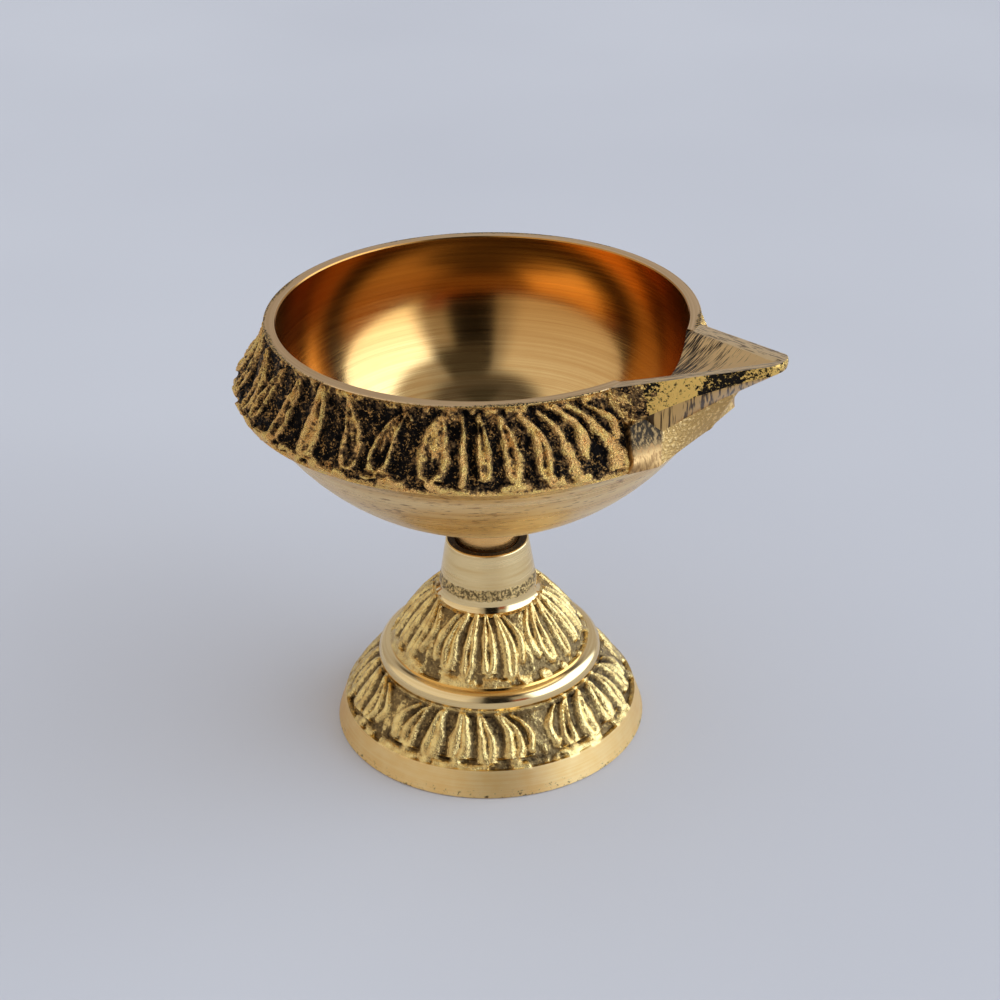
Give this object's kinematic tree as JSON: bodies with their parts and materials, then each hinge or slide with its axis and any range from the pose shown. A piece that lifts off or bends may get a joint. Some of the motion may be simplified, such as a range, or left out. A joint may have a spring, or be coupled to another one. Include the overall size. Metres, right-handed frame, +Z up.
{
  "type": "diya oil lamp",
  "caption": "Small brass diya oil lamp: a round bowl with one pouring spout for the wick, screwed onto a flared hollow stand with two bands of petal relief.",
  "frame": {"origin": "centre of the flat ring under the stand, on the lamp's upright axis", "axes": "+Z up along the lamp's axis, +X along the spout, +Y to the left of the spout seen from above with the spout pointing away"},
  "size_m": [0.0933, 0.0806, 0.0802],
  "materials": {
    "bowl_brass": "turned and filed brass with dark patina in the petal relief",
    "stud_brass": "polished turned brass, coppery",
    "stand_brass": "turned and cast brass with olive-brown patina in the petal relief"
  },
  "bodies": {
    "stand": {"stand": "stand_brass"},
    "stud": {"threaded_stud": "stud_brass"},
    "bowl": {"bowl": "bowl_brass"}
  },
  "joints": [
    {"name": "stud_rise", "type": "slide", "parent": "stand", "child": "stud", "axis": [0, 0, 1], "range_m": [0, 0.007]},
    {"name": "bowl_turn", "type": "hinge", "parent": "stud", "child": "bowl", "pos_m": [0, 0, 0.0401], "axis": [0, 0, 1], "range_deg": [0, 2016]}
  ],
  "couplings": [
    {"joint": "stud_rise", "follows": "bowl_turn", "m_per_rad": 0.00019894}
  ]
}
